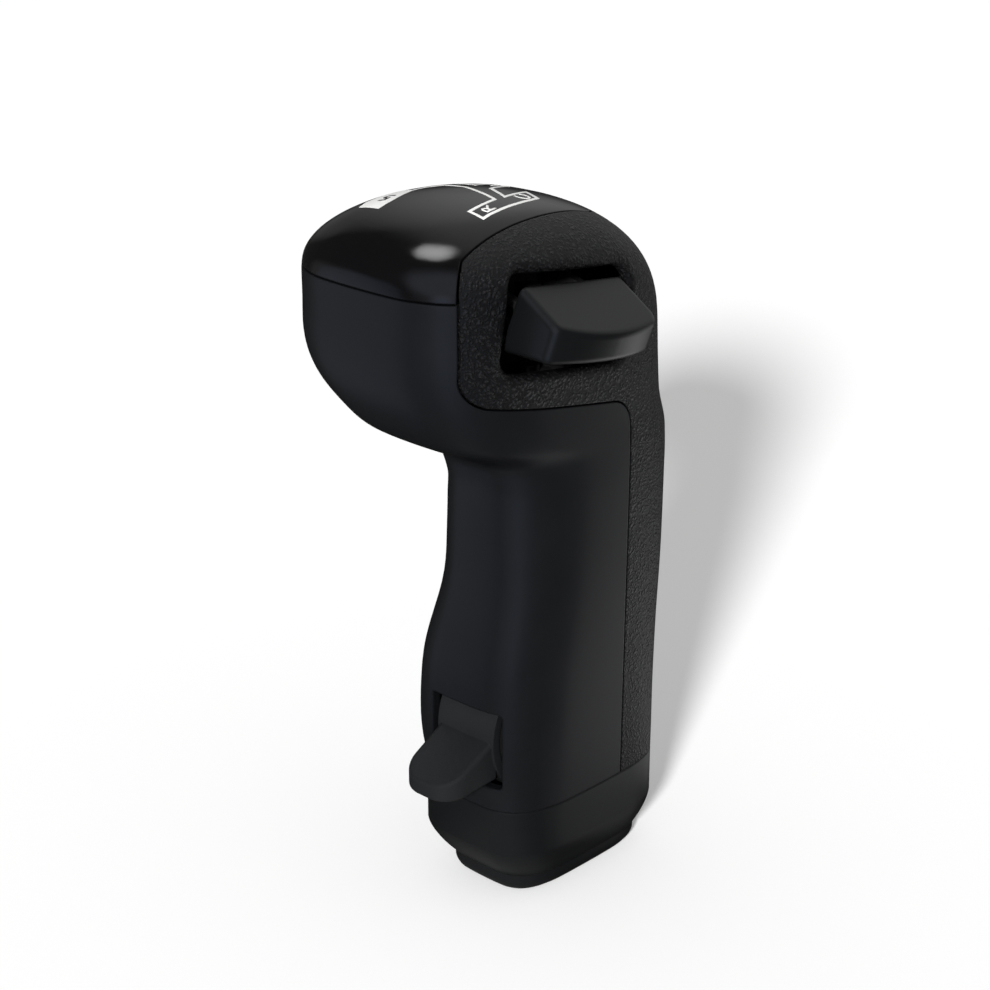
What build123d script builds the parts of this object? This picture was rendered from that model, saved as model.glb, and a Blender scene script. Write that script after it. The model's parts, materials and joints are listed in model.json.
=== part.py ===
from build123d import *
import math
import os

# A truck-style gear knob for a simulator shifter, in millimetres with +Z up.
# The origin is on the stalk's axis, level with the underside of the foot.
# -Y is the side with the range toggle, +X the side with the splitter paddle.

# Outer form: heights, then reaches from the stalk's axis
collar_height = 20.5
grip_rise = 63.0
chin_rise = 28.0
crown_rise = 24.2
column_right = 15.6
column_left = 15.6
column_front = 26.6
column_back = 18.2
swell_front = 0.5
swell_left = 2.0
waist_front = 2.4
waist_left = 2.4
head_front = 16.0
head_left = 19.2
head_right = 0.7
head_back = 2.8
column_squareness = 3.7
waist_softness = 0.9
head_firmness = 0.5
crown_squareness = 3.8
front_shoulder = 9.6
back_shoulder = 28.5
crown_fall_x = 0.006
crown_fall_y = 0.006
crown_left = 8.8
crown_front = 17.6
ring_points = 36

# Shells and the lines where they part: the cap seam stands above the chin, the loop above the grip
wall = 2.2
seam = 0.4
inner_gap = 0.4
cap_seam_rise = 12.3
cap_edge_front = (8.0, -34.3)
cap_edge_slant = 0.098
cap_front_slant = 0.69
cap_back = 8.0
cap_corner = 8.0
grip_seam = 2.4
left_seam = 8.0
loop_rise = 14.7
loop_slope = 0.175
loop_front = 37.2
loop_corner = 6.0

# Base collar and foot
foot_height = 4.0
foot_inset = 3.7
foot_round = 2.4
skirt_height = 7.0
skirt_inset = 3.4
skirt_shift = (0.5, 1.1)
skirt_bend = 1.5
collar_wall = 2.4
flange_height = 4.5
flange_width = 2.6
collar_gap = 0.3

# Stalk sleeve and its grub screws
bore_radius = 5.1
sleeve_wall = 2.5
sleeve_length = 42.0
sleeve_end = 2.0
grub_radius = 2.5
grub_length = 6.0
grub_drop = 4.0
grub_gap = 0.2
hex_key = 2.5
thread_gap = 0.02
access_radius = 2.8

# Chassis
cup_wall = 2.0
cup_gap = 0.9
cup_roof = 5.6
shelf_thickness = 1.6
web_width = 14.0
web_thickness = 3.6
platform_rise = 15.5
platform_thickness = 2.5
platform_margin = 3.0
platform_right = 9.0
platform_back = 13.0
base_block = 5.5
gusset_height = 17.0
gusset_reach = 17.0
gusset_thickness = 2.0

# Splitter paddle: its hinge stands in the head's right side and leans back with its window
splitter_x = 10.8
splitter_y = -13.5
splitter_rise = 6.7
splitter_lean = -7.5
splitter_droop = 15.5
paddle_window_width = 30.2
paddle_window_height = 17.6
paddle_window_y = -14.2
paddle_window_drop = 1.6
paddle_window_corner = 3.2
paddle_window_edge = 1.6
paddle_front = 14.0
paddle_back = 13.2
paddle_root = 2.7
paddle_root_height = 12.6
paddle_reach = 15.8
paddle_front_reach = 12.8
paddle_back_reach = 13.4
paddle_tip_height = 5.6
paddle_front_corner = 2.0
paddle_back_corner = 3.4
paddle_edge = 1.4
hub_length = 18.4
cradle_wall = 2.0
cradle_rim = 6.3
cradle_base = 6.0
tab_thickness = 1.8
tab_reach = 5.0
tab_margin = 1.0
tab_screw_inset = 2.4
tab_screw_spread = 6.0
splitter_travel = 18.0

# Range toggle: its hinge lies across the column behind the front window
range_x = 0.6
range_y = -12.5
range_rise = 13.5
toggle_window_x = 0.9
toggle_window_width = 17.0
toggle_window_height = 15.8
toggle_window_drop = 1.2
toggle_window_corner = 1.0
toggle_window_edge = 0.4
toggle_width = 14.6
toggle_radius = 13.6
toggle_plate = 1.8
toggle_plate_gap = 0.5
toggle_plate_low = 60.0
toggle_plate_high = 34.0
lever_reach = 25.2
lever_width = 13.8
lever_tip_width = 13.2
lever_root_top = 0.9
lever_root_bottom = -7.9
lever_tip_top = -5.7
lever_tip_bottom = -9.1
lever_corner = 5.2
lever_edge = 0.9
lever_sink = 1.2
cheek_inset = 0.1
cheek_wall = 1.6
cheek_low = 52.0
cheek_high = 28.0
range_travel = 16.0

# Hinges and slide switches, alike for both levers
pin_radius = 1.0
pin_gap = 0.05
hub_radius = 2.3
ear_thickness = 2.0
ear_gap = 0.3
finger_radius = 1.0
finger_arm = 6.0
arm_thickness = 1.6
finger_gap = 0.08
switch_length = 9.0
switch_width = 8.6
switch_depth = 3.8
finger_width = 3.0
knob_wall = 1.0
knob_width = 3.4
stem_half = 1.2
stem_depth = 1.2
slot_gap = 0.15

# Fasteners
lower_screw_rise = 8.4
upper_screw_drop = 11.0
screw_bite = 9.0
boss_radius = 3.4
screw_radius = 1.25
screw_gap = 0.35
head_radius = 2.4
head_height = 1.6
cross_length = 3.1
cross_width = 0.6
head_gap = 0.3
foot_screw_front = (6.8, -17.0)
foot_screw_back = (6.6, 8.8)
foot_screw_short = 1.0
foot_boss_radius = 2.6
cap_screw_bite = 7.0
front_post_x = -12.0
front_post_inset = 9.4
left_post_inset = 7.4
right_post_x = -2.5
back_post_inset = 17.0

# Boards and the socket
board_thickness = 1.6
board_size = (20.5, 24.0)
board_inset = 2.8
board_y = -12.5
board_post = 2.5
board_post_radius = 2.0
board_screw_radius = 1.0
board_screw_short = 0.5
small_head_radius = 1.9
small_head_height = 1.3
small_slot_length = 2.4
small_slot_width = 0.5
board_screw_inset = 2.2
board_hole_gap = 0.1
chip_size = (7.0, 7.0, 1.0)
chip_offset = (-2.0, -1.0)
chip_edge = 0.2
connector_size = (9.0, 4.6, 5.0)
connector_offset = 8.0
connector_wall = 0.7
connector_floor = 1.5
usb_size = (7.8, 3.6, 8.0)
usb_y = -15.0
usb_recess = 1.0
usb_metal = 0.3
usb_corner = 0.8
tongue_size = (5.4, 0.9, 6.0)
usb_gap = 0.2
usb_board_size = (13.0, 1.2, 15.0)
usb_room = 0.4
usb_head_room = 2.6

# Shares of the grip's height, of its swell and of its waist
grip_curve = [(0, 0, 0), (0.25, 1, 0), (0.42, 0.8, 0.1), (0.7, 0, 0.9), (0.85, 0, 1), (1, 0, 1)]
# Shares of the chin's height and of the head's overhang
chin_curve = [(0, 0), (0.2, 0.07), (0.4, 0.6), (0.57, 0.79), (0.78, 0.94), (1, 1)]
# Shares of the way up the wall, and over the crown, at which the form's rings lie
wall_levels = [0, 0.06, 0.13, 0.2, 0.27, 0.35, 0.43, 0.51, 0.57, 0.605, 0.63]
wall_levels += [0.655, 0.68, 0.705, 0.735, 0.77, 0.81, 0.86, 0.91, 0.96, 1]
crown_levels = [turn / 90 for turn in (4, 12, 20, 29, 39, 50, 62, 75, 84)]

# Places that follow from the sizes above
grip_top = collar_height + grip_rise
head_foot = grip_top + chin_rise
sleeve_radius = bore_radius + sleeve_wall
cup_radius = sleeve_radius + cup_wall
web_front = cup_radius
web_back = web_front + web_thickness
platform_height = grip_top + platform_rise
platform_top = platform_height + platform_thickness
flange_top = foot_height + flange_height
grub_height = collar_height - grub_drop
splitter_z = head_foot + splitter_rise
range_z = collar_height + range_rise
far = 200.0
touch = 0.01


def along(curve, share, column):
    """A smooth, level-ended reading of one column of a curve."""
    share = min(max(share, curve[0][0]), curve[-1][0])
    spans = list(zip(curve[:-1], curve[1:]))
    rates = [(b[column] - a[column]) / (b[0] - a[0]) for a, b in spans]
    slopes = [0.0]
    for before, after in zip(rates[:-1], rates[1:]):
        turning = before * after <= 0
        slopes.append(0.0 if turning else 2 * before * after / (before + after))
    slopes.append(0.0)
    index = next(i for i, (a, b) in enumerate(spans) if share <= b[0])
    a, b = spans[index]
    span = b[0] - a[0]
    t = (share - a[0]) / span
    rise = 3 * t ** 2 - 2 * t ** 3
    leaving = t ** 3 - 2 * t ** 2 + t
    arriving = t ** 3 - t ** 2
    bend = span * (leaving * slopes[index] + arriving * slopes[index + 1])
    return a[column] + (b[column] - a[column]) * rise + bend


def reach(height):
    """How far the form reaches left, right, to the front and back, and how square it is."""
    grip = (height - collar_height) / grip_rise
    chin = along(chin_curve, (height - collar_height - grip_rise) / chin_rise, 1)
    swell = along(grip_curve, grip, 1)
    waist = along(grip_curve, grip, 2) * (1 - chin)
    flare = min(max(grip, 0), 1)
    left = column_left + swell_left * swell - waist_left * waist + head_left * chin
    front = column_front + swell_front * swell - waist_front * waist + head_front * chin
    right = column_right + head_right * flare
    back = column_back + head_back * flare
    squareness = column_squareness - waist_softness * flare + head_firmness * chin
    return left, right, front, back, squareness


def ring_point(turn, height, left, right, front, back, squareness):
    c, s = math.cos(turn), math.sin(turn)
    across = math.copysign(abs(c) ** (2 / squareness), c)
    ahead = math.copysign(abs(s) ** (2 / squareness), s)
    x = (right - left) / 2 + (right + left) / 2 * across
    y = (back - front) / 2 + (back + front) / 2 * ahead
    return Vector(x, y, height)


def crown_point(turn, rise):
    """A point over the crown: rise 0 at the foot of the shoulder, 1 in the middle."""
    left, right, front, back, squareness = reach(head_foot)
    rim = ring_point(turn, head_foot, left, right, front, back, squareness)
    share = math.cos(min(rise, 1) * math.pi / 2) ** (2 / crown_squareness)
    lift = math.sin(min(rise, 1) * math.pi / 2) ** (2 / crown_squareness)
    x = (right - left) / 2 * (1 - share) + rim.X * share
    y = (back - front) / 2 * (1 - share) + rim.Y * share
    dome = crown_rise - crown_fall_x * (x + crown_left) ** 2 - crown_fall_y * (y + crown_front) ** 2
    backness = (0.5 + 0.5 * math.sin(turn)) ** 2
    shoulder = front_shoulder + (back_shoulder - front_shoulder) * backness
    return Vector(x, y, head_foot + dome - shoulder * (1 - lift))


def skin_point(turn, level, foot):
    """A point of the form: level 0 to 1 up the wall, 1 to 2 over the crown."""
    if level > 1:
        return crown_point(turn, level - 1)
    height = foot + (crown_point(turn, 0).Z - foot) * level
    return ring_point(turn, height, *reach(height))


def inset_point(turn, level, inset, foot):
    step = 1e-3
    sideways = skin_point(turn + step, level, foot) - skin_point(turn - step, level, foot)
    upward = skin_point(turn, level + step, foot) - skin_point(turn, level - step, foot)
    return skin_point(turn, level, foot) - sideways.cross(upward).normalized() * inset


def form_solid(inset, foot):
    """The whole outer form, or the same form set in by a wall's thickness."""
    turns = [math.pi * (0.5 + 2 * i / ring_points) for i in range(ring_points)]
    knots = [i / ring_points for i in range(ring_points + 1)]
    rings = []
    for level in wall_levels + [1 + level for level in crown_levels]:
        points = [inset_point(turn, level, inset, foot) for turn in turns]
        rings.append(Wire([Edge.make_spline(points, periodic=True, parameters=knots)]))
    peak = crown_point(0, 1)
    return Solid.make_loft(rings + [Vertex(peak.X, peak.Y, peak.Z - inset)])


def plan_wire(inset, height, shift=0.0):
    """The column's outline at the collar, set in all round, and shifted as the foot is by a share."""
    turns = [math.pi * (0.5 + 2 * i / ring_points) for i in range(ring_points)]
    knots = [i / ring_points for i in range(ring_points + 1)]
    sides = [side - inset for side in (column_left, column_right, column_front, column_back)]
    points = [ring_point(turn, height, *sides, column_squareness) for turn in turns]
    points = [point + Vector(*skirt_shift) * shift for point in points]
    return Wire([Edge.make_spline(points, periodic=True, parameters=knots)])


def plan_prism(inset, bottom, top, shift=0.0):
    return Solid.extrude(Face(plan_wire(inset, bottom, shift)), Vector(0, 0, top - bottom))


def rod(start, direction, radius, length):
    """A round bar from a point along a direction."""
    plane = Plane(origin=start, z_dir=direction)
    return Solid.make_cylinder(radius, length, plane)


def block(low, high):
    """A box between two corners."""
    size = [b - a for a, b in zip(low, high)]
    return Pos(*[(a + b) / 2 for a, b in zip(low, high)]) * Box(*size)


def soft_edges(piece, root, radius):
    """A lever with its long edges rounded and those round its root left sharp."""
    sharp = root.edges()
    long_edges = [edge for edge in piece.edges() if edge not in sharp and abs(edge.tangent_at(0.5).Z) < 0.9]
    return fillet(long_edges, radius)


def screw(start, direction, length):
    """A pan-head screw with a cross recess; start is the seat under its head."""
    plane = Plane(origin=start, z_dir=direction)
    head = Solid.make_cylinder(head_radius, head_height, Plane(origin=plane.origin, z_dir=-plane.z_dir))
    shank = Solid.make_cylinder(screw_radius, length, plane)
    slots = Box(cross_length, cross_width, head_height) + Box(cross_width, cross_length, head_height)
    return head + shank - plane * Pos(0, 0, -head_height) * slots


def slotted_screw(x, y, seat, length):
    """A small slotted screw, driven down from its seat."""
    head = rod((x, y, seat), (0, 0, 1), small_head_radius, small_head_height)
    shank = rod((x, y, seat - length), (0, 0, 1), board_screw_radius, length)
    slot = Box(small_slot_length, small_slot_width, small_head_height)
    return head + shank - Pos(x, y, seat + small_head_height) * slot


def save(name, shape):
    solids = shape.solids()
    piece = max(solids, key=lambda solid: solid.volume)
    piece.label = name
    export_step(piece, f"parts/{name}.step")


os.makedirs("parts", exist_ok=True)

# The form and the solids that cut it into shells
form = form_solid(0, collar_height)
cavity = form_solid(wall, collar_height - wall)
mid_wall = form_solid(wall / 2, collar_height)
core = form_solid(wall + inner_gap, collar_height - wall)


def cap_tool(grow):
    """Everything over the cap seam, inside the cap's outline as seen from above."""
    x, y = cap_edge_front
    corner = (x - cap_edge_slant * (cap_back - y), cap_back)
    outer = (x + (far + y) * cap_front_slant, -far)
    outline = Polyline([(-far, cap_back), (-far, -far), outer, (x, y), corner], close=True)
    face = make_face(outline)
    face = fillet(face.vertices().sort_by_distance(Vector(*corner)).first, cap_corner)
    if grow:
        face = offset(face, grow)
    return Pos(0, 0, head_foot + cap_seam_rise - grow) * extrude(face, far)


def grip_tool(grow):
    """The textured back: all behind the left seam, and on the right the spine and paddle loop."""
    low = (grip_seam, grip_top + loop_rise)
    high = (-loop_front, low[1] + loop_slope * (grip_seam + loop_front))
    outline = Polyline([(grip_seam, -far), low, high, (-loop_front, far), (far, far), (far, -far)],
                       close=True)
    face = make_face(outline)
    for place in (low, high):
        face = fillet(face.vertices().sort_by_distance(Vector(*place)).first, loop_corner)
    if grow:
        face = offset(face, grow)
    side = extrude(Plane.YZ * face, far)
    return side + block((-far, left_seam - grow, -far), (0, far, far))


def window(plane, width, height, corner):
    """A rounded prism from a plane outward, that cuts a window through the skin."""
    return extrude(plane * RectangleRounded(width, height, corner), 2 * column_right)


def soft_rim(shell, hole, radius):
    """A shell with the outer edge of its window rounded over."""
    skin_faces = form.faces()
    rim = []
    for edge in shell.edges():
        places = [Vertex(*edge.position_at(share)) for share in (0.1, 0.5, 0.9)]
        on_hole = all(hole.distance_to(place) < touch for place in places)
        on_skin = all(min(face.distance_to(place) for face in skin_faces) < touch for place in places)
        if on_hole and on_skin:
            rim.append(edge)
    return fillet(rim, radius)


window_middle = Pos(splitter_x, paddle_window_y, splitter_z - paddle_window_drop)
leaning_plane = Plane(window_middle * Rot(X=splitter_lean) * Plane.YZ.location)
paddle_hole = window(leaning_plane, paddle_window_width, paddle_window_height, paddle_window_corner)
toggle_place = (toggle_window_x, range_y, range_z - toggle_window_drop)
toggle_plane = Plane(origin=toggle_place, x_dir=(1, 0, 0), z_dir=(0, -1, 0))
toggle_hole = window(toggle_plane, toggle_window_width, toggle_window_height, toggle_window_corner)

skin = form - cavity
plate_start = (range_x - toggle_width / 2 - toggle_plate_gap, range_y, range_z)
plate_length = toggle_width + 2 * toggle_plate_gap
plate_room = rod(plate_start, (1, 0, 0), toggle_radius + toggle_plate_gap, plate_length)
front_shell = skin - grip_tool(seam) - cap_tool(seam) - toggle_hole - plate_room
back_shell = (skin & grip_tool(0)) - cap_tool(seam) - paddle_hole
top_cap = skin & cap_tool(0)

# The range switch hangs under a shelf, and the cup closes over the sleeve and the shelf
finger_lean = math.radians(range_travel / 2)
range_finger = (range_y - finger_arm * math.sin(finger_lean), range_z + finger_arm * math.cos(finger_lean))
case_rise = finger_radius + finger_gap + knob_wall + slot_gap
shelf_low = range_finger[1] + case_rise + switch_depth
cup_top = max(sleeve_length + cup_roof, shelf_low + shelf_thickness)

# Posts under the cap stand a set way in from the head's walls, level with the platform
head_left_reach, _, head_front_reach, head_back_reach, _ = reach(platform_height)
back_post_y = head_back_reach - back_post_inset
cap_posts = {
    "front": (front_post_x, front_post_inset - head_front_reach),
    "left": (left_post_inset - head_left_reach, back_post_y),
    "right": (right_post_x, back_post_y),
}
shell_screw_heights = (cup_top + lower_screw_rise, platform_height - upper_screw_drop)

# Bosses join the shells and the cap to the chassis
for height in shell_screw_heights:
    front_boss = rod((0, web_front, height), (0, -1, 0), boss_radius, far) & mid_wall
    back_boss = rod((0, web_back, height), (0, 1, 0), boss_radius, far) & mid_wall
    seat = reach(height)[3] - head_height - head_gap
    front_shell = front_shell + front_boss
    front_shell = front_shell - rod((0, web_front, height), (0, -1, 0), screw_radius, screw_bite)
    back_shell = back_shell + back_boss - rod((0, seat, height), (0, 1, 0), head_radius + head_gap, far)
    back_shell = back_shell - rod((0, 0, height), (0, 1, 0), screw_radius + screw_gap, far)
for x, y in cap_posts.values():
    post = rod((x, y, platform_top), (0, 0, 1), boss_radius, far) & mid_wall
    top_cap = top_cap + post - rod((x, y, platform_top), (0, 0, 1), screw_radius, cap_screw_bite + 1)

save("front_shell", soft_rim(front_shell, toggle_hole, toggle_window_edge))
save("back_shell", soft_rim(back_shell, paddle_hole, paddle_window_edge))
save("top_cap", top_cap)

# Base collar: a straight wall, a skirt drawn in below it and a flange that the foot clamps
skirt_top = foot_height + skirt_height
skirt_rings = []
for step in range(7):
    share = step / 6
    drawn = (1 - share) ** skirt_bend
    skirt_rings.append(plan_wire(skirt_inset * drawn, foot_height + skirt_height * share, drawn))
collar = Solid.make_loft(skirt_rings) + plan_prism(0, skirt_top, collar_height - seam)
collar = collar + Solid.make_loft([plan_wire(0, collar_height - seam), plan_wire(seam, collar_height)])
collar = collar - plan_prism(skirt_inset + flange_width, 0, far) - plan_prism(collar_wall, flange_top, far)
for direction in ((0, 1, 0), (-1, 0, 0)):
    collar = collar - rod((0, 0, grub_height), direction, access_radius, far)
save("base_collar", collar)

# Foot plate, open for the stalk, the socket and four screws
foot = plan_prism(foot_inset, 0, foot_height, 1)
foot = fillet(foot.faces().sort_by(Axis.Z).first.edges(), foot_round)
foot = foot - rod((0, 0, 0), (0, 0, 1), sleeve_radius + collar_gap, foot_height)
usb_low = (-usb_size[0] / 2 - usb_gap, usb_y - usb_size[1] / 2 - usb_gap, 0)
usb_high = (usb_size[0] / 2 + usb_gap, usb_y + usb_size[1] / 2 + usb_gap, foot_height)
foot = foot - block(usb_low, usb_high)
foot_screws = {}
for name, (x, y) in (("front", foot_screw_front), ("back", foot_screw_back)):
    foot_screws[f"{name}_right"] = (x, y)
    foot_screws[f"{name}_left"] = (-x, y)
foot_seat = head_height + head_gap
foot_screw_length = flange_top + base_block - foot_seat - foot_screw_short
for name, (x, y) in foot_screws.items():
    foot = foot - rod((x, y, 0), (0, 0, 1), head_radius, foot_seat)
    foot = foot - rod((x, y, 0), (0, 0, 1), screw_radius + screw_gap, foot_height)
    save(f"foot_screw_{name}", screw((x, y, foot_seat), (0, 0, 1), foot_screw_length))
save("foot_plate", foot)

# Stalk sleeve: a blind metal tube, held on the stalk by two grub screws
sleeve = rod((0, 0, 0), (0, 0, 1), sleeve_radius, sleeve_length)
sleeve = sleeve - rod((0, 0, 0), (0, 0, 1), bore_radius, sleeve_length - sleeve_end)
for name, direction in (("back", (0, 1, 0)), ("left", (-1, 0, 0))):
    sleeve = sleeve - rod((0, 0, grub_height), direction, grub_radius + thread_gap, far)
    start = Vector(direction) * (bore_radius + grub_gap) + Vector(0, 0, grub_height)
    grub = rod(start, direction, grub_radius, grub_length)
    socket = extrude(RegularPolygon(hex_key / 2, 6, major_radius=False), grub_length / 3, both=True)
    grub = grub - Plane(origin=start + Vector(direction) * grub_length, z_dir=direction) * socket
    save(f"grub_screw_{name}", grub)
save("shaft_sleeve", sleeve)

# Chassis: a cup round the sleeve, a web up the column and a platform in the head
cup = block((-cup_radius, range_y + hub_radius + cup_gap, flange_top), (cup_radius, cup_radius, cup_top))
base = plan_prism(collar_wall + collar_gap, flange_top, flange_top + base_block)
web = block((-web_width / 2, web_front, flange_top), (web_width / 2, web_back, platform_top))
platform_corner = (platform_margin - head_left_reach, platform_margin - head_front_reach, platform_height)
platform = block(platform_corner, (platform_right, platform_back, platform_top))
platform = platform & core
gusset_foot = platform_height - gusset_height
gusset = Polyline([(web_front, platform_height), (web_front - gusset_reach, platform_height),
                   (web_front, gusset_foot)], close=True)
gusset = extrude(Plane.YZ * make_face(gusset), gusset_thickness)
gussets = Pos(web_width / 2 - gusset_thickness, 0, 0) * gusset + Pos(-web_width / 2, 0, 0) * gusset
chassis = cup + base + web + platform + gussets
flange_room = plan_prism(skirt_inset + flange_width + collar_gap, foot_height, flange_top + 1)
for name, (x, y) in foot_screws.items():
    foot_boss = rod((x, y, foot_height), (0, 0, 1), foot_boss_radius, flange_height + 1)
    chassis = chassis + (foot_boss & flange_room)

# Ears for the range pin, and a shelf over its switch
ear_inner = toggle_width / 2 - cheek_inset + ear_gap
for side in (-1, 1):
    low = range_x + side * ear_inner
    high = range_x + side * (ear_inner + ear_thickness)
    ear_low = (min(low, high), range_y, range_z - hub_radius)
    ear = block(ear_low, (max(low, high), -sleeve_radius, range_z + hub_radius))
    chassis = chassis + ear + rod((low, range_y, range_z), (side, 0, 0), hub_radius, ear_thickness)
shelf_front = range_y - switch_length / 2
shelf = block((range_x - switch_width / 2, shelf_front, shelf_low), (range_x + switch_width / 2, 0, cup_top))
pocket = block((range_x - switch_width / 2 - slot_gap, shelf_front - 1, shelf_low - switch_depth - slot_gap),
               (range_x + switch_width / 2 + slot_gap, range_y + switch_length / 2 + slot_gap, shelf_low))
chassis = chassis + shelf - pocket

# Posts for the board
board_low = platform_top + board_post
board_left, _, _, _, _ = reach(board_low)
board_centre = (wall + board_inset - board_left + board_size[0] / 2, board_y)
board_corners = {}
for row, up in (("front", -1), ("back", 1)):
    for side, across in (("left", -1), ("right", 1)):
        x = board_centre[0] + across * (board_size[0] / 2 - board_screw_inset)
        y = board_centre[1] + up * (board_size[1] / 2 - board_screw_inset)
        board_corners[f"{row}_{side}"] = (x, y)
        chassis = chassis + rod((x, y, platform_top), (0, 0, 1), board_post_radius, board_post)

# Holes through the chassis
chassis = chassis - rod((0, 0, 0), (0, 0, 1), sleeve_radius, sleeve_length)
for name, (x, y) in foot_screws.items():
    chassis = chassis - rod((x, y, foot_seat), (0, 0, 1), screw_radius, foot_screw_length)
for direction in ((0, 1, 0), (-1, 0, 0)):
    chassis = chassis - rod((0, 0, grub_height), direction, access_radius, far)
for height in shell_screw_heights:
    chassis = chassis - rod((0, 0, height), (0, 1, 0), screw_radius + screw_gap, far)
below = platform_height - platform_thickness
for x, y in cap_posts.values():
    chassis = chassis - rod((x, y, below), (0, 0, 1), screw_radius + screw_gap, far)
for x, y in board_corners.values():
    chassis = chassis - rod((x, y, below), (0, 0, 1), board_screw_radius, far)
usb_board_y = usb_y + usb_size[1] / 2
usb_board_low = foot_height + usb_room
usb_top = usb_board_low + usb_board_size[2] + usb_head_room
usb_reach = usb_board_size[0] / 2 + usb_room
chassis = chassis - block((-usb_reach, usb_low[1] - usb_gap, 0),
                          (usb_reach, usb_board_y + usb_board_size[1] + usb_room, usb_top))
chassis = chassis - rod((range_x - far / 2, range_y, range_z), (1, 0, 0), pin_radius, far)

# Long screws from the back pull both shells onto the web; short ones from below hold the cap
for name, height in zip(("lower", "upper"), shell_screw_heights):
    seat = reach(height)[3] - head_height - head_gap
    save(f"shell_screw_{name}", screw((0, seat, height), (0, -1, 0), seat - web_front + screw_bite))
for name, (x, y) in cap_posts.items():
    save(f"cap_screw_{name}", screw((x, y, platform_height), (0, 0, 1), platform_thickness + cap_screw_bite))

# Main board with its chip, connector and screws
board = Box(*board_size, board_thickness)
board = Pos(*board_centre, board_low + board_thickness / 2) * board
board_top = board_low + board_thickness
board_screw_length = board_top - platform_height - board_screw_short
for name, (x, y) in board_corners.items():
    board = board - rod((x, y, below), (0, 0, 1), board_screw_radius + board_hole_gap, far)
    save(f"board_screw_{name}", slotted_screw(x, y, board_top, board_screw_length))
save("main_board", board)
chip_rise = board_top + chip_size[2] / 2
chip = Pos(board_centre[0] + chip_offset[0], board_centre[1] + chip_offset[1], chip_rise) * Box(*chip_size)
save("microcontroller", chamfer(chip.edges().group_by(Axis.Z)[-1], chip_edge))
connector_mouth = (connector_size[0] - 2 * connector_wall, connector_size[1] - 2 * connector_wall)
hollow = Box(*connector_mouth, connector_size[2])
connector = Box(*connector_size) - Pos(0, 0, connector_floor) * hollow
connector_place = (board_centre[0], board_centre[1] + connector_offset, board_top + connector_size[2] / 2)
save("board_connector", Pos(*connector_place) * connector)

# Socket in the foot, facing down, on its own small board
usb_bottom = usb_recess
usb_middle = (0, usb_y, usb_bottom + usb_size[2] / 2)
metal = fillet(Box(*usb_size).edges().filter_by(Axis.Z), usb_corner)
metal = Pos(*usb_middle) * (metal - Pos(0, 0, -usb_metal) * Box(usb_size[0] - 2 * usb_metal,
                                                               usb_size[1] - 2 * usb_metal, usb_size[2]))
save("usb_socket", metal)
tongue = Pos(0, usb_y, usb_bottom + usb_size[2] - usb_metal - tongue_size[2] / 2) * Box(*tongue_size)
save("usb_tongue", tongue)
usb_board = Box(*usb_board_size)
usb_board = Pos(0, usb_board_y + usb_board_size[1] / 2, usb_board_low + usb_board_size[2] / 2) * usb_board
save("usb_board", usb_board)


def slide_switch(name, plane, travel):
    """A slide switch: the plane starts at the finger at rest, x along the slide, z out of the case."""
    stroke = finger_arm * math.radians(travel)
    inner = finger_radius + finger_gap
    floor = -inner - knob_wall
    side = knob_width / 2
    knob = block((floor, -side, floor), (-floor, side, finger_radius))
    knob = knob - block((-inner, -side, -inner), (inner, side, finger_radius))
    slider = knob + block((-stem_half, -side, -case_rise - stem_depth), (stem_half, side, floor))
    case = block((stroke / 2 - switch_length / 2, -switch_width / 2, -case_rise - switch_depth),
                 (stroke / 2 + switch_length / 2, switch_width / 2, -case_rise))
    slot = block((-stem_half - slot_gap, -side - slot_gap, -case_rise - stem_depth - slot_gap),
                 (stroke + stem_half + slot_gap, side + slot_gap, -case_rise))
    save(f"{name}_switch_slider", plane * slider)
    save(f"{name}_switch_case", plane * (case - slot))


# Range toggle: a curved plate with a wedge lever, its carrier, pin and switch
middle = Vector(range_x, range_y, range_z)


def across_toggle(face, width):
    """A face drawn with Y ahead of the hinge and Z above it, made as wide as asked."""
    return Pos(range_x, range_y, range_z) * extrude(Plane.YZ * face, width / 2, both=True)


def sector(radius, low, high):
    """A pie slice between two angles below and above the forward direction."""
    start = Vector(-far, 0).rotate(Axis.Z, low)
    end = Vector(-far, 0).rotate(Axis.Z, -high)
    ahead = Vector(-far, 0)
    slice_points = [(0, 0), (start.X, start.Y), (2 * ahead.X, 0), (end.X, end.Y)]
    slice_face = make_face(Polyline(slice_points, close=True))
    return Circle(radius) & slice_face


plate_face = sector(toggle_radius, toggle_plate_low, toggle_plate_high)
plate_face = plate_face - Circle(toggle_radius - toggle_plate)
plate = across_toggle(plate_face, toggle_width)
root_y = -toggle_radius + lever_sink
tip_y = -lever_reach
lever_outline = [(root_y, lever_root_top), (tip_y, lever_tip_top),
                 (tip_y, lever_tip_bottom), (root_y, lever_root_bottom)]
lever_face = make_face(Polyline(lever_outline, close=True))
lever = across_toggle(lever_face, lever_width)
plan_points = [(lever_width / 2, root_y), (lever_tip_width / 2, tip_y), (-lever_tip_width / 2, tip_y),
               (-lever_width / 2, root_y)]
lever_plan = make_face(Polyline(plan_points, close=True))
lever_plan = fillet([v for v in lever_plan.vertices() if v.Y < tip_y + 1], lever_corner)
lever = lever & (Pos(range_x, range_y, range_z - far / 2) * extrude(lever_plan, far))
lever = soft_edges(lever, lever.faces().sort_by(Axis.Y).last, lever_edge)
range_toggle = plate + lever
save("range_toggle", range_toggle)

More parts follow.
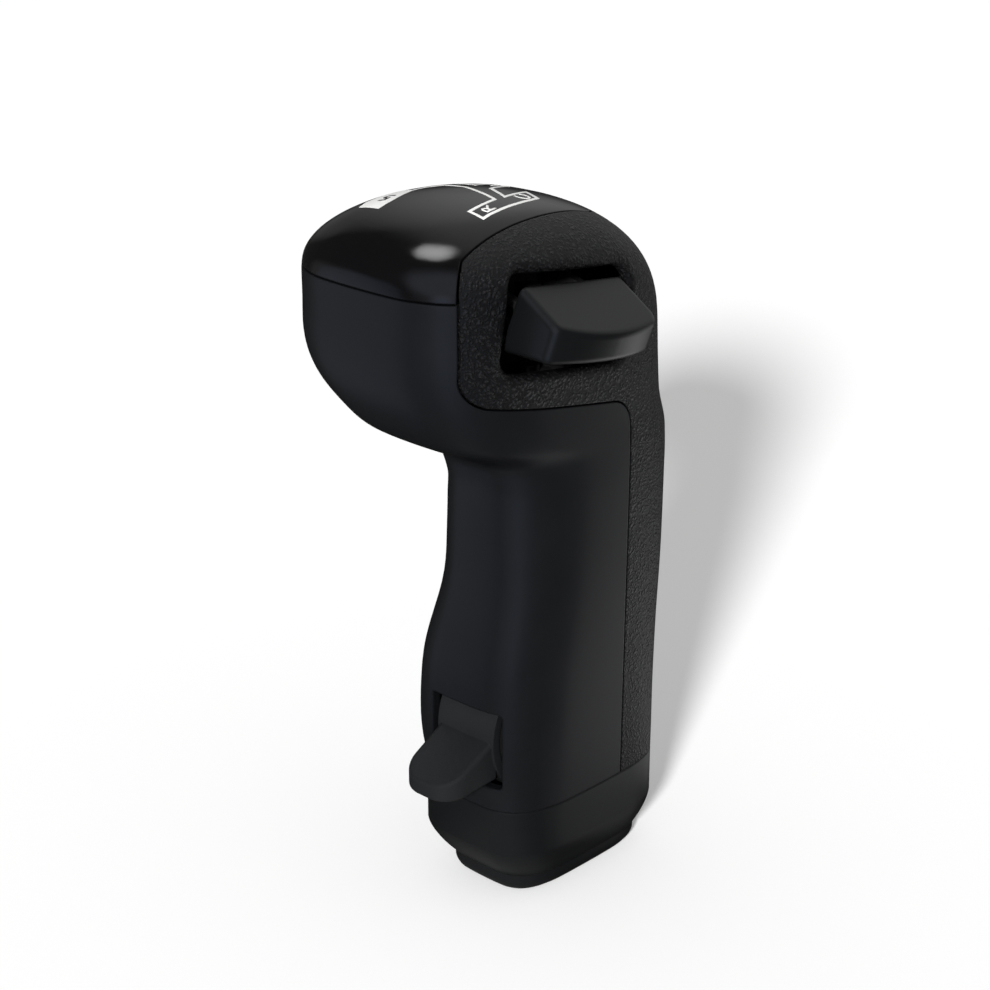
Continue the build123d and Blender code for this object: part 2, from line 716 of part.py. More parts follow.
cheek_face = sector(toggle_radius - toggle_plate, cheek_low, cheek_high)
cheek_face = cheek_face + Circle(hub_radius)
cheek_width = toggle_width - 2 * cheek_inset
cheek = across_toggle(cheek_face, cheek_width)
cheek = cheek - across_toggle(cheek_face - Circle(hub_radius), cheek_width - 2 * cheek_wall)
tail = Pos(0, 0, finger_arm / 2) * Box(finger_width, arm_thickness, finger_arm)
tail = Pos(range_x, range_y, range_z) * Rot(X=range_travel / 2) * tail
finger = rod((range_x - finger_width / 2, *range_finger), (1, 0, 0), finger_radius, finger_width)
carrier = cheek + tail + finger
carrier = carrier - rod((range_x - far / 2, range_y, range_z), (1, 0, 0), pin_radius + pin_gap, far)
save("range_carrier", carrier)
pin_length = 2 * (ear_inner + ear_thickness)
save("range_pin", rod((range_x - pin_length / 2, range_y, range_z), (1, 0, 0), pin_radius, pin_length))
range_switch = Plane(origin=(range_x, *range_finger), x_dir=(0, 1, 0), z_dir=(0, 0, -1))
slide_switch("range", range_switch, range_travel)

# Splitter paddle: a wedge that droops at rest, its carrier, pin, cradle and switch
leaning = Pos(splitter_x, splitter_y, splitter_z) * Rot(X=splitter_lean)
drooping = leaning * Rot(Y=splitter_droop)


def across_paddle(face, width):
    """A face drawn with X outward from the hinge and Z above it, made as wide as asked."""
    return extrude(Plane.XZ * face, width / 2, both=True)


root_half = paddle_root_height / 2
tip_half = paddle_tip_height / 2
wedge_outline = [(paddle_root, -root_half), (paddle_reach, -tip_half),
                 (paddle_reach, tip_half), (paddle_root, root_half)]
wedge_face = make_face(Polyline(wedge_outline, close=True))
wedge = across_paddle(wedge_face, far)
front_tip = Vector(paddle_front_reach, -paddle_front)
back_tip = Vector(paddle_back_reach, paddle_back)
bowed_tip = ThreePointArc(front_tip, (paddle_reach, 0), back_tip)
wedge_sides = Polyline([back_tip, (paddle_root, paddle_back), (paddle_root, -paddle_front), front_tip])
wedge_plan = make_face(bowed_tip + wedge_sides)
wedge_plan = fillet(wedge_plan.vertices().sort_by_distance(front_tip).first, paddle_front_corner)
wedge_plan = fillet(wedge_plan.vertices().sort_by_distance(back_tip).first, paddle_back_corner)
wedge = wedge & (Pos(0, 0, -far / 2) * extrude(wedge_plan, far))
wedge = soft_edges(wedge, wedge.faces().sort_by(Axis.X).first, paddle_edge)
save("splitter_paddle", drooping * wedge)

hub_half = hub_length / 2
hub = across_paddle(Circle(hub_radius), 2 * hub_half)
neck = block((0, -hub_half, -hub_radius), (paddle_root, hub_half, hub_radius))
arm_turn = splitter_travel / 2
arm_low = (-finger_arm, -finger_width / 2, -arm_thickness / 2)
arm = Rot(Y=arm_turn) * block(arm_low, (0, finger_width / 2, arm_thickness / 2))
finger_place = Vector(-finger_arm, 0, 0).rotate(Axis.Y, arm_turn)
finger_start = (finger_place.X, -finger_width / 2, finger_place.Z)
splitter_finger = rod(finger_start, (0, 1, 0), finger_radius, finger_width)
pin_hole = across_paddle(Circle(pin_radius + pin_gap), far)
carrier = leaning * ((Rot(Y=splitter_droop) * (hub + neck)) + arm + splitter_finger - pin_hole)
save("splitter_carrier", carrier)

cradle_inner = hub_half + ear_gap
cradle_outer = cradle_inner + ear_thickness
case_back = finger_place.X - case_rise - switch_depth
wall_back = case_back - cradle_wall
cradle_drop = splitter_z - platform_top
cradle_foot = -cradle_drop - cradle_base
ear_outline = [(0, hub_radius), (wall_back, cradle_rim), (wall_back, cradle_foot), (-5, cradle_foot),
               (-4, -8), (0, -hub_radius)]
ear_face = make_face(Polyline(ear_outline, close=True)) + Circle(hub_radius)
cradle = across_paddle(ear_face, 2 * cradle_outer) - across_paddle(ear_face, 2 * cradle_inner)
cradle = cradle + block((wall_back, -cradle_outer, cradle_foot), (case_back, cradle_outer, cradle_rim))
cradle = leaning * (cradle - across_paddle(Circle(pin_radius), far))
cradle = cradle - block((-far, -far, -far), (far, far, platform_top))
tab_y = splitter_y + cradle_drop * math.sin(math.radians(splitter_lean))
tab_half = cradle_outer + tab_margin
tab_end = splitter_x + case_back + tab_reach
tab_top = platform_top + tab_thickness
tab_low = (splitter_x + wall_back, tab_y - tab_half, platform_top)
cradle = cradle + block(tab_low, (tab_end, tab_y + tab_half, tab_top))
cradle_screws = {"front": tab_y - tab_screw_spread, "back": tab_y + tab_screw_spread}
tab_x = tab_end - tab_screw_inset
tab_screw_length = platform_thickness + tab_thickness
for name, y in cradle_screws.items():
    hole = rod((tab_x, y, platform_height), (0, 0, 1), board_screw_radius, tab_screw_length)
    cradle = cradle - hole
    chassis = chassis - hole
    save(f"cradle_screw_{name}", slotted_screw(tab_x, y, tab_top, tab_screw_length))
save("splitter_cradle", cradle)
save("chassis", chassis)
pin = leaning * across_paddle(Circle(pin_radius), 2 * cradle_outer)
save("splitter_pin", pin)
local_switch = Plane(origin=(finger_place.X, 0, finger_place.Z), x_dir=(0, 0, -1), z_dir=(1, 0, 0))
splitter_switch = Plane(leaning * local_switch.location)
slide_switch("splitter", splitter_switch, splitter_travel)
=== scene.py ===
import json
import math
import bmesh
import bpy
from mathutils import Matrix, Vector
from mathutils.bvhtree import BVHTree


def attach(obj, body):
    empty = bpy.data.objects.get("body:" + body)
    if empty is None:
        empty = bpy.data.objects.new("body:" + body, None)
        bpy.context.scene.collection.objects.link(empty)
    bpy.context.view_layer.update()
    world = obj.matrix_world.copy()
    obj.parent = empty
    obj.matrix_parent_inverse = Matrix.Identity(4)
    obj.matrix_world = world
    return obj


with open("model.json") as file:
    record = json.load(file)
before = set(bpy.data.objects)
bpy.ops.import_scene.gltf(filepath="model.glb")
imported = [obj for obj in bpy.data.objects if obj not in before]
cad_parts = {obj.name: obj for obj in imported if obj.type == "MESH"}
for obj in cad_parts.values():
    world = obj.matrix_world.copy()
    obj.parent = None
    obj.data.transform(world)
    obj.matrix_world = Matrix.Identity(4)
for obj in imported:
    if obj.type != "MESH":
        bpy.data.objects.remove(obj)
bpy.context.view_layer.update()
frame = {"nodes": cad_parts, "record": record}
nodes = frame["nodes"]
mm = 0.001
print("frame loaded:", len(nodes), "nodes")

# The photograph is taken from the paddle's side, a little above the cap
cameraView = {
    "place": (271.56, -302.44, 235.6),  # mm from the mouth of the sleeve
    "turn": 43.6,         # degrees from looking along +Y
    "pitch": 21.52,       # degrees below level
    "lens": 82.84,        # mm
    "sensor": 36,         # mm wide
    "nearest": 10,        # mm from the camera that is still seen
}


def makeCamera(view):
    camera = bpy.data.cameras.new("camera")
    camera.lens = view["lens"]
    camera.sensor_width = view["sensor"]
    camera.clip_start = view["nearest"] * mm
    holder = bpy.data.objects.new("camera", camera)
    holder.location = Vector(view["place"]) * mm
    holder.rotation_euler = (math.radians(90 - view["pitch"]), 0, math.radians(view["turn"]))
    bpy.context.scene.collection.objects.link(holder)
    bpy.context.scene.camera = holder


makeCamera(cameraView)
print("camera placed")

# A Mix node set to colours has these sockets
mixFactor, mixFirst, mixSecond, mixResult = 0, 6, 7, 2


def linear(hexColour):
    # an sRGB hex colour as linear red, green, blue and alpha
    parts = [int(hexColour[i:i + 2], 16) / 255 for i in (1, 3, 5)]
    return (*[p / 12.92 if p <= 0.04045 else ((p + 0.055) / 1.055) ** 2.4 for p in parts], 1)


def addNode(tree, kind, settings=None, links=None):
    # settings name a socket or a property; links name a socket and what feeds it
    node = tree.nodes.new(kind)
    for name, value in (settings or {}).items():
        if isinstance(name, int) or name in node.inputs:
            node.inputs[name].default_value = value
        else:
            setattr(node, name, value)
    for name, socket in (links or {}).items():
        tree.links.new(socket, node.inputs[name])
    return node


def newMaterial(name):
    material = bpy.data.materials.new(name)
    material.use_nodes = True
    tree = material.node_tree
    tree.nodes.clear()
    return material, tree


def finishMaterial(tree, surface):
    addNode(tree, "ShaderNodeOutputMaterial", links={"Surface": surface.outputs[0]})


def perMetre(sizeInMm):
    # a texture's scale, so that its cells or waves are this many mm across
    return 1 / (sizeInMm * mm)


# What most moulded pieces share. Sizes are in mm.
moulded = {
    "ior": 1.5,
    "specular": 0.4,
    "coat": 0.0,
    "coatRoughness": 0.04,
    "driftDetail": 3.0,
    "sparkDetail": 4.0,
    "sparkRoughness": 0.6,
    "edgeSamples": 4,
}


def makeMoulding(own):
    # injection-moulded plastic: one colour, a slow drift in gloss, and the tool's spark or polish
    look = {**moulded, **own}
    material, tree = newMaterial(look["name"])
    place = addNode(tree, "ShaderNodeTexCoord").outputs["Object"]
    soft = addNode(tree, "ShaderNodeBevel",
                   {"Radius": look["edge"] * mm, "samples": look["edgeSamples"]})
    drift = addNode(tree, "ShaderNodeTexNoise",
                    {"Scale": perMetre(look["drift"]), "Detail": look["driftDetail"]},
                    {"Vector": place})
    gloss = addNode(tree, "ShaderNodeMapRange",
                    {"To Min": look["roughness"][0], "To Max": look["roughness"][1]},
                    {"Value": drift.outputs["Fac"]})
    tint = addNode(tree, "ShaderNodeMix",
                   {"data_type": "RGBA", mixFirst: linear(look["colours"][0]),
                    mixSecond: linear(look["colours"][1])},
                   {mixFactor: drift.outputs["Fac"]})
    spark = addNode(tree, "ShaderNodeTexNoise",
                    {"Scale": perMetre(look["spark"]), "Detail": look["sparkDetail"],
                     "Roughness": look["sparkRoughness"]},
                    {"Vector": place})
    bump = addNode(tree, "ShaderNodeBump", {"Strength": 1.0, "Distance": look["depth"] * mm},
                   {"Height": spark.outputs["Fac"], "Normal": soft.outputs["Normal"]})
    shader = addNode(tree, "ShaderNodeBsdfPrincipled",
                     {"IOR": look["ior"], "Specular IOR Level": look["specular"],
                      "Coat Weight": look["coat"], "Coat Roughness": look["coatRoughness"]},
                     {"Base Color": tint.outputs[mixResult], "Roughness": gloss.outputs[0],
                      "Normal": bump.outputs[0]})
    finishMaterial(tree, shader)
    return material


# Polished black ABS: a deep, wet black whose reflections stay sharp
pianoBlack = makeMoulding({
    "name": "polishedBlackAbs", "colours": ("#070708", "#0A0A0B"), "roughness": (0.07, 0.12),
    "specular": 0.5, "drift": 18, "spark": 3.0, "depth": 0.002, "edge": 0.35})
# Satin black ABS from a blasted tool: reflections spread into long soft bands
satinAbs = makeMoulding({
    "name": "satinBlackAbs", "colours": ("#0D0E10", "#121315"), "roughness": (0.36, 0.44),
    "drift": 14, "spark": 0.25, "depth": 0.006, "edge": 0.35})
# The collar's plastic is the same ABS, a shade darker and glossier
collarAbs = makeMoulding({
    "name": "collarBlackAbs", "colours": ("#0C0D0E", "#111213"), "roughness": (0.32, 0.4),
    "drift": 16, "spark": 0.3, "depth": 0.006, "edge": 0.35})
# The toggle is spark-eroded: matte, with a fine even grit
sparkAbs = makeMoulding({
    "name": "sparkErodedAbs", "colours": ("#161718", "#1D1E1F"), "roughness": (0.5, 0.62),
    "drift": 8, "spark": 0.45, "depth": 0.03, "edge": 0.3})
# The paddle comes from a finer tool than the shells: more gloss, and rounder edges that catch it
paddleAbs = makeMoulding({
    "name": "fineSatinBlackAbs", "colours": ("#0B0C0D", "#101112"), "roughness": (0.26, 0.34),
    "specular": 0.5, "drift": 9, "spark": 0.3, "depth": 0.004, "edge": 0.6})
# Glass-filled nylon inside: greyer and duller than the ABS
nylon = makeMoulding({
    "name": "blackNylon", "colours": ("#1A1A1A", "#222222"), "roughness": (0.5, 0.6),
    "ior": 1.53, "specular": 0.5, "drift": 6, "spark": 0.3, "depth": 0.01, "edge": 0.2})
# Moulded acetal: smooth and a little waxy
acetal = makeMoulding({
    "name": "whiteAcetal", "colours": ("#DDDCD4", "#E6E5DE"), "roughness": (0.35, 0.45),
    "ior": 1.48, "specular": 0.5, "drift": 6, "spark": 0.3, "depth": 0.005, "edge": 0.1})
blackAcetal = makeMoulding({
    "name": "blackAcetal", "colours": ("#0B0B0B", "#101010"), "roughness": (0.4, 0.5),
    "ior": 1.48, "drift": 6, "spark": 0.3, "depth": 0.005, "edge": 0.1})
# Solder lacquer on the boards: green and glossy above, black and duller in the foot
boardLacquer = makeMoulding({
    "name": "greenBoardLacquer", "colours": ("#123A20", "#174A29"), "roughness": (0.25, 0.35),
    "specular": 0.5, "coat": 0.3, "drift": 5, "spark": 0.8, "depth": 0.004, "edge": 0.1})
blackLacquer = makeMoulding({
    "name": "blackBoardLacquer", "colours": ("#090A0A", "#0E0F0F"), "roughness": (0.35, 0.45),
    "drift": 5, "spark": 0.8, "depth": 0.004, "edge": 0.1})
# Print on the cap: a flat, slightly chalky film
printed = {"ior": 1.45, "specular": 0.3, "drift": 3, "spark": 0.2, "depth": 0.003, "edge": 0.02}
whiteInk = makeMoulding({
    **printed, "name": "whitePrintInk", "colours": ("#E9E9E7", "#F2F2F0"),
    "roughness": (0.45, 0.55)})
blackInk = makeMoulding({
    **printed, "name": "blackPrintInk", "colours": ("#0C0C0D", "#131314"),
    "roughness": (0.4, 0.5)})

# Etched soft-touch skin: pebbles of 0.6 mm catch points of light all over, and painted shade
# darkens the creases between them. Sizes are in mm.
softTouchLook = {
    "name": "grainedSoftTouch",
    "colours": ("#0A0A0B", "#19191A"),   # painted shade in the creases, the plastic's own colour on the pebbles
    "roughness": (0.26, 0.46),           # on the pebbles, in the creases
    "ior": 1.5,
    "specular": 0.5,
    "pebble": 0.62,
    "pebbleRise": (0.1, 0.7),            # from a pebble's middle to its foot, in cells
    "pebbleSmoothness": 0.35,
    "plate": 2.2,                        # between long creases
    "creaseWidth": 0.12,                 # in plates
    "wanderSize": 2.4,                   # waves that bend both patterns, in pebbles
    "wanderReach": 1.4,                  # how far they bend them, in pebbles
    "pore": 0.24,
    "poreRoughness": 0.65,
    "poreShare": 0.45,
    "depth": 0.26,
    "edge": 0.5,
    "edgeSamples": 4,
}


def makeGrain(look):
    # small leather pebbles, long creases across them and open pores; the creases and pebble feet
    # get painted shade
    material, tree = newMaterial(look["name"])
    place = addNode(tree, "ShaderNodeTexCoord").outputs["Object"]
    soft = addNode(tree, "ShaderNodeBevel",
                   {"Radius": look["edge"] * mm, "samples": look["edgeSamples"]})
    wander = addNode(tree, "ShaderNodeTexNoise",
                     {"Scale": perMetre(look["pebble"] * look["wanderSize"]), "Detail": 2.0},
                     {"Vector": place})
    shift = addNode(tree, "ShaderNodeVectorMath",
                    {"operation": "SCALE", "Scale": look["pebble"] * look["wanderReach"] * mm},
                    {0: wander.outputs["Color"]})
    bent = addNode(tree, "ShaderNodeVectorMath", {"operation": "ADD"},
                   {0: place, 1: shift.outputs[0]})
    pebbles = addNode(tree, "ShaderNodeTexVoronoi",
                      {"feature": "SMOOTH_F1", "Smoothness": look["pebbleSmoothness"],
                       "Scale": perMetre(look["pebble"])},
                      {"Vector": bent.outputs[0]})
    crown = addNode(tree, "ShaderNodeMapRange",
                    {"interpolation_type": "SMOOTHSTEP", "From Min": look["pebbleRise"][0],
                     "From Max": look["pebbleRise"][1], "To Min": 1.0, "To Max": 0.0},
                    {"Value": pebbles.outputs["Distance"]})
    plates = addNode(tree, "ShaderNodeTexVoronoi",
                     {"feature": "DISTANCE_TO_EDGE", "Scale": perMetre(look["plate"])},
                     {"Vector": bent.outputs[0]})
    crease = addNode(tree, "ShaderNodeMapRange",
                     {"interpolation_type": "SMOOTHSTEP", "From Min": 0.0,
                      "From Max": look["creaseWidth"], "To Min": 0.0, "To Max": 1.0},
                     {"Value": plates.outputs["Distance"]})
    pores = addNode(tree, "ShaderNodeTexNoise",
                    {"Scale": perMetre(look["pore"]), "Detail": 3.0,
                     "Roughness": look["poreRoughness"]},
                    {"Vector": place})
    heightAndShadeMask = addNode(tree, "ShaderNodeMath", {"operation": "MULTIPLY"},
                   {0: crown.outputs[0], 1: crease.outputs[0]})
    height = addNode(tree, "ShaderNodeMath", {"operation": "MULTIPLY_ADD", 1: look["poreShare"]},
                     {0: pores.outputs["Fac"], 2: heightAndShadeMask.outputs[0]})
    bump = addNode(tree, "ShaderNodeBump", {"Strength": 1.0, "Distance": look["depth"] * mm},
                   {"Height": height.outputs[0], "Normal": soft.outputs["Normal"]})
    gloss = addNode(tree, "ShaderNodeMapRange",
                    {"To Min": look["roughness"][1], "To Max": look["roughness"][0]},
                    {"Value": heightAndShadeMask.outputs[0]})
    # painted shade: the colour darkens from the pebble tops down into the creases and pebble feet
    tint = addNode(tree, "ShaderNodeMix",
                   {"data_type": "RGBA", mixFirst: linear(look["colours"][0]),
                    mixSecond: linear(look["colours"][1])},
                   {mixFactor: heightAndShadeMask.outputs[0]})
    shader = addNode(tree, "ShaderNodeBsdfPrincipled",
                     {"IOR": look["ior"], "Specular IOR Level": look["specular"]},
                     {"Base Color": tint.outputs[mixResult], "Roughness": gloss.outputs[0],
                      "Normal": bump.outputs[0]})
    finishMaterial(tree, shader)
    return material


softTouch = makeGrain(softTouchLook)

# Zinc-plated steel: bright and a little grey, with fine marks from the turning
steelLook = {
    "name": "zincPlatedSteel",
    "colours": ("#A9ABAE", "#C4C6C8"),
    "roughness": (0.25, 0.4),
    "mark": 0.6,   # mm
}


def makeMetal(look):
    material, tree = newMaterial(look["name"])
    place = addNode(tree, "ShaderNodeTexCoord").outputs["Object"]
    marks = addNode(tree, "ShaderNodeTexNoise", {"Scale": perMetre(look["mark"]), "Detail": 4.0},
                    {"Vector": place})
    gloss = addNode(tree, "ShaderNodeMapRange",
                    {"To Min": look["roughness"][0], "To Max": look["roughness"][1]},
                    {"Value": marks.outputs["Fac"]})
    tint = addNode(tree, "ShaderNodeMix",
                   {"data_type": "RGBA", mixFirst: linear(look["colours"][0]),
                    mixSecond: linear(look["colours"][1])},
                   {mixFactor: marks.outputs["Fac"]})
    shader = addNode(tree, "ShaderNodeBsdfPrincipled", {"Metallic": 1.0},
                     {"Base Color": tint.outputs[mixResult], "Roughness": gloss.outputs[0]})
    finishMaterial(tree, shader)
    return material


zincSteel = makeMetal(steelLook)
print("materials made")

finishes = {
    "top_cap": pianoBlack,
    "front_shell": satinAbs,
    "back_shell": softTouch,
    "base_collar": collarAbs,
    "foot_plate": collarAbs,
    "splitter_paddle": paddleAbs,
    "range_toggle": sparkAbs,
    "main_board": boardLacquer,
    "usb_board": blackLacquer,
    "splitter_switch_case": nylon,
    "range_switch_case": nylon,
    "splitter_switch_slider": blackAcetal,
    "range_switch_slider": blackAcetal,
}
slotFinishes = {"steel": zincSteel, "switch_white": acetal, "inner_black": nylon}
slots = {part["node"]: part["material_slot"] for part in frame["record"]["subparts"]}
for name, node in nodes.items():
    node.data.materials.clear()
    node.data.materials.append(finishes.get(name) or slotFinishes[slots[name]])
print("finishes given")

# The gate pattern is printed on the cap. The driver sits at +Y and reads it from there.
# Points are in mm from the sleeve's axis, seen from above.
gatePattern = {
    "line": 0.66,          # mm wide
    "step": 0.8,           # mm between points, so that the ink follows the crown
    "rounds": 5,           # halvings of whatever is longer than a step
    "proud": 0.035,        # mm above the cap
    "filledProud": 0.028,
    "darkProud": 0.063,
    "film": 2.2,           # the ink's thickness, in its height above the cap
    "border": [
        (-1.4, -22.9), (2.9, -23.2), (2.3, -20.6), (1.8, -17.6), (1.2, -14.3), (0.7, -11.2),
        (0.1, -8.0), (-0.6, -4.9), (-5.8, -2.9), (-3.9, -10.6), (-9.3, -8.1), (-11.4, -1.2),
        (-16.6, -0.6), (-14.8, -7.0), (-20.2, -6.2), (-21.8, -0.2), (-26.6, -0.4),
        (-25.8, -8.0), (-25.2, -17.4), (-20.1, -18.1), (-20.3, -14.3), (-18.8, -11.1),
        (-13.5, -11.3), (-7.9, -12.9), (-3.3, -14.4)],
    "filled": [
        (-20.0, -18.0), (-25.3, -17.3), (-24.4, -25.6), (-23.0, -28.7), (-17.1, -29.4),
        (-17.9, -25.0)],
    # each sign's middle, its turn in degrees and its height in mm
    "letters": [
        ("R", (-0.1, -18.9), 9, 3.0), ("C", (-2.4, -7.2), 14, 3.0),
        ("1", (-12.3, -4.4), 8, 2.2), ("3", (-23.2, -4.0), 6, 2.4)],
    "darkLetters": [("5", (-20.9, -23.6), 12, 3.6)],
    "fontSize": 1.4,       # in heights of a capital
    "fontWeight": 0.05,    # mm added all round
    "joinWithin": 0.02,    # mm between points that become one
}
capSkin = BVHTree.FromObject(nodes["top_cap"], bpy.context.evaluated_depsgraph_get())
overCap = 0.2   # m, higher than any point of the cap


def pressOntoCap(mesh, proud):
    # each flat point, in mm, is dropped on the cap from above and lifted by the ink's height
    for point in mesh.verts:
        above = Vector((point.co.x * mm, point.co.y * mm, overCap))
        spot, normal, _, _ = capSkin.ray_cast(above, Vector((0, 0, -1)))
        point.co = spot + normal * proud * mm


def layInk(name, mesh, ink, proud):
    # a flat drawing becomes a thin film on the cap, with its underside just under the surface
    for _ in range(gatePattern["rounds"]):
        bmesh.ops.triangulate(mesh, faces=mesh.faces)
        long = [edge for edge in mesh.edges if edge.calc_length() > gatePattern["step"]]
        bmesh.ops.subdivide_edges(mesh, edges=long, cuts=1)
    bmesh.ops.triangulate(mesh, faces=mesh.faces)
    bmesh.ops.recalc_face_normals(mesh, faces=mesh.faces)
    if sum(face.normal.z for face in mesh.faces) < 0:
        bmesh.ops.reverse_faces(mesh, faces=mesh.faces)
    pressOntoCap(mesh, proud)
    bmesh.ops.solidify(mesh, geom=mesh.faces, thickness=gatePattern["film"] * proud * mm)
    data = bpy.data.meshes.new(name)
    mesh.to_mesh(data)
    mesh.free()
    piece = bpy.data.objects.new(name, data)
    bpy.context.scene.collection.objects.link(piece)
    data.materials.append(ink)
    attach(piece, "housing")


def layLine(name, points, width):
    # a closed line of even width: the outline's own face is inset, and its middle taken out
    mesh = bmesh.new()
    middle = mesh.faces.new([mesh.verts.new((*point, 0)) for point in points])
    mesh.normal_update()
    bmesh.ops.inset_region(mesh, faces=[middle], thickness=width, use_boundary=True,
                           use_even_offset=True)
    bmesh.ops.delete(mesh, geom=[middle], context="FACES")
    layInk(name, mesh, whiteInk, gatePattern["proud"])


def layFilled(name, points):
    mesh = bmesh.new()
    mesh.faces.new([mesh.verts.new((*point, 0)) for point in points])
    layInk(name, mesh, whiteInk, gatePattern["filledProud"])


def layLetter(name, letter, ink, proud):
    sign, middle, turn, height = letter
    writing = bpy.data.curves.new(name, "FONT")
    writing.body = sign
    writing.size = height * gatePattern["fontSize"]
    writing.align_x = "CENTER"
    writing.align_y = "CENTER"
    writing.offset = gatePattern["fontWeight"]
    holder = bpy.data.objects.new(name, writing)
    bpy.context.scene.collection.objects.link(holder)
    bpy.context.view_layer.update()
    mesh = bmesh.new()
    mesh.from_mesh(holder.to_mesh())
    holder.to_mesh_clear()
    bpy.data.objects.remove(holder)
    bpy.data.curves.remove(writing)
    bmesh.ops.remove_doubles(mesh, verts=mesh.verts, dist=gatePattern["joinWithin"])
    # a turn of 0 stands upright for the driver
    turned = Matrix.Rotation(math.radians(180 + turn), 4, "Z")
    bmesh.ops.transform(mesh, matrix=Matrix.Translation((*middle, 0)) @ turned, verts=mesh.verts)
    layInk(name, mesh, ink, proud)


layLine("gatePatternLine", gatePattern["border"], gatePattern["line"])
layFilled("gatePatternFilledBox", gatePattern["filled"])
for letter in gatePattern["letters"]:
    layLetter("gateLetter" + letter[0], letter, whiteInk, gatePattern["proud"])
for letter in gatePattern["darkLetters"]:
    layLetter("gateDigit" + letter[0], letter, blackInk, gatePattern["darkProud"])
print("gate pattern printed")

# Studio: a white floor and background. Gloss sees a dark room instead, with soft lights in it.
studio = {
    "floorSize": 6.0,            # m
    "floorColour": "#F0F0F0",
    "floorGlow": 0.13,           # what the camera sees of the floor beside its own light
    "middle": (0, -0.01, 0.07),  # m, where the ways to the lights are taken from
    "room": 0.03,
    "skyFill": 0.42,
}


def softLight(toward, edge, core, level, colour="#FFFFFF"):
    # a round light: full where a way's cosine to its middle passes core, none below edge
    return {"toward": toward, "edge": edge, "core": core, "level": level, "colour": colour}


softLights = [
    # overhead, small: the soft highlight on the cap
    softLight((-0.35, 0.08, 0.93), 0.974, 1.003, 5.6),
    # front right, from over the cap down to the column's front
    softLight((0.35, -0.75, 0.55), 0.62, 0.92, 0.45, "#E6ECFF"),
    softLight((0.45, -0.87, -0.22), 0.9, 0.99, 0.4, "#BFD4FF"),
    # front left, low and dim
    softLight((-0.66, -0.7, -0.27), 0.9, 0.985, 0.26, "#CCDAFF"),
    softLight((-0.84, -0.5, -0.2), 0.9, 0.99, 0.12),
    # behind: high over the paddle, round to the left, and low along the spine
    softLight((-0.1, 0.8, 0.6), 0.62, 0.9, 0.36),
    softLight((-0.77, 0.53, 0.36), 0.9, 0.975, 0.12),
    softLight((0.36, 0.87, -0.33), 0.93, 0.99, 0.68),
    softLight((0.56, 0.54, -0.63), 0.95, 0.995, 0.42),
    softLight((0.28, 0.75, -0.6), 0.93, 0.99, 0.55),
    # the pale floor in front of the foot and to its right
    softLight((0.12, -0.42, -0.9), 0.9, 0.985, 0.15),
    softLight((0.454, 0.294, -0.843), 0.95, 0.99, 0.24),
]


def makeSurround(tree, way):
    # the dark room and its soft lights, as gloss sees them along a way
    total = addNode(tree, "ShaderNodeCombineXYZ", dict.fromkeys("XYZ", studio["room"]))
    for light in softLights:
        aim = addNode(tree, "ShaderNodeVectorMath",
                      {"operation": "DOT_PRODUCT", 1: Vector(light["toward"]).normalized()},
                      {0: way})
        glow = addNode(tree, "ShaderNodeMapRange",
                       {"interpolation_type": "SMOOTHSTEP", "From Min": light["edge"],
                        "From Max": light["core"], "To Min": 0.0, "To Max": light["level"]},
                       {"Value": aim.outputs["Value"]})
        tinted = addNode(tree, "ShaderNodeVectorMath",
                         {"operation": "SCALE", 0: linear(light["colour"])[:3]},
                         {"Scale": glow.outputs[0]})
        total = addNode(tree, "ShaderNodeVectorMath", {"operation": "ADD"},
                        {0: tinted.outputs[0], 1: total.outputs[0]})
    return total


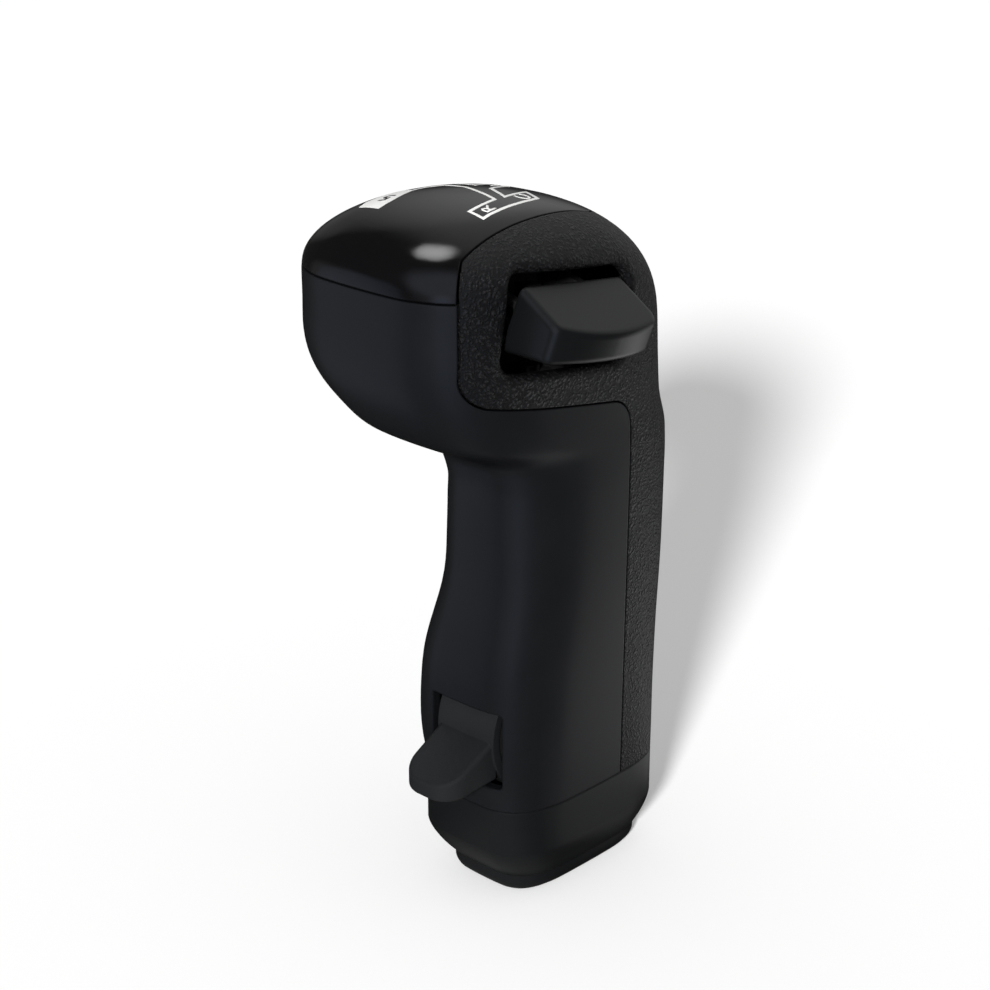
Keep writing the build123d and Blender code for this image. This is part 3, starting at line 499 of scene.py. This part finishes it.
def makeFloor(look):
    bpy.ops.mesh.primitive_plane_add(size=look["floorSize"], location=(0, 0, 0))
    floor = bpy.context.object
    floor.name = "floor"
    material, tree = newMaterial("whiteFloor")
    paint = addNode(tree, "ShaderNodeBsdfDiffuse", {"Color": linear(look["floorColour"])})
    glow = addNode(tree, "ShaderNodeEmission",
                   {"Color": (1, 1, 1, 1), "Strength": look["floorGlow"]})
    shown = addNode(tree, "ShaderNodeAddShader", {}, {0: paint.outputs[0], 1: glow.outputs[0]})
    place = addNode(tree, "ShaderNodeTexCoord").outputs["Object"]
    way = addNode(tree, "ShaderNodeVectorMath", {"operation": "SUBTRACT", 1: look["middle"]},
                  {0: place})
    unit = addNode(tree, "ShaderNodeVectorMath", {"operation": "NORMALIZE"}, {0: way.outputs[0]})
    surround = makeSurround(tree, unit.outputs[0])
    mirrored = addNode(tree, "ShaderNodeEmission", {}, {"Color": surround.outputs[0]})
    path = addNode(tree, "ShaderNodeLightPath")
    seen = addNode(tree, "ShaderNodeMixShader", {},
                   {0: path.outputs["Is Camera Ray"], 1: paint.outputs[0], 2: shown.outputs[0]})
    chosen = addNode(tree, "ShaderNodeMixShader", {},
                     {0: path.outputs["Is Glossy Ray"], 1: seen.outputs[0],
                      2: mirrored.outputs[0]})
    finishMaterial(tree, chosen)
    floor.data.materials.append(material)


def makeWorld(look):
    world = bpy.data.worlds.new("studio")
    bpy.context.scene.world = world
    world.use_nodes = True
    tree = world.node_tree
    tree.nodes.clear()
    way = addNode(tree, "ShaderNodeTexCoord").outputs["Generated"]
    surround = makeSurround(tree, way)
    path = addNode(tree, "ShaderNodeLightPath")
    lit = addNode(tree, "ShaderNodeMix",
                  {"data_type": "RGBA", mixFirst: (*(look["skyFill"],) * 3, 1)},
                  {mixFactor: path.outputs["Is Glossy Ray"], mixSecond: surround.outputs[0]})
    level = addNode(tree, "ShaderNodeMix", {"data_type": "RGBA", mixSecond: (1, 1, 1, 1)},
                    {mixFactor: path.outputs["Is Camera Ray"],
                     mixFirst: lit.outputs[mixResult]})
    glow = addNode(tree, "ShaderNodeBackground", {}, {"Color": level.outputs[mixResult]})
    addNode(tree, "ShaderNodeOutputWorld", links={"Surface": glow.outputs[0]})


# A low soft light from beside the camera casts the shadow on the floor. Gloss doesn't see it.
shadowLight = {
    "name": "shadowLight",
    "strength": 5.0,
    "spread": 7,   # degrees across
    "turn": 30,    # degrees from -Y towards +X
    "rise": 22,    # degrees above the floor
}


def makeSun(look):
    sun = bpy.data.lights.new(look["name"], "SUN")
    sun.energy = look["strength"]
    sun.angle = math.radians(look["spread"])
    holder = bpy.data.objects.new(look["name"], sun)
    turn, rise = math.radians(look["turn"]), math.radians(look["rise"])
    toLight = Vector((math.sin(turn) * math.cos(rise), -math.cos(turn) * math.cos(rise),
                      math.sin(rise)))
    holder.rotation_euler = (-toLight).to_track_quat("-Z", "Y").to_euler()
    holder.visible_glossy = False
    bpy.context.scene.collection.objects.link(holder)


makeFloor(studio)
makeWorld(studio)
makeSun(shadowLight)
bpy.context.scene.view_settings.view_transform = "Standard"
print("studio lit")
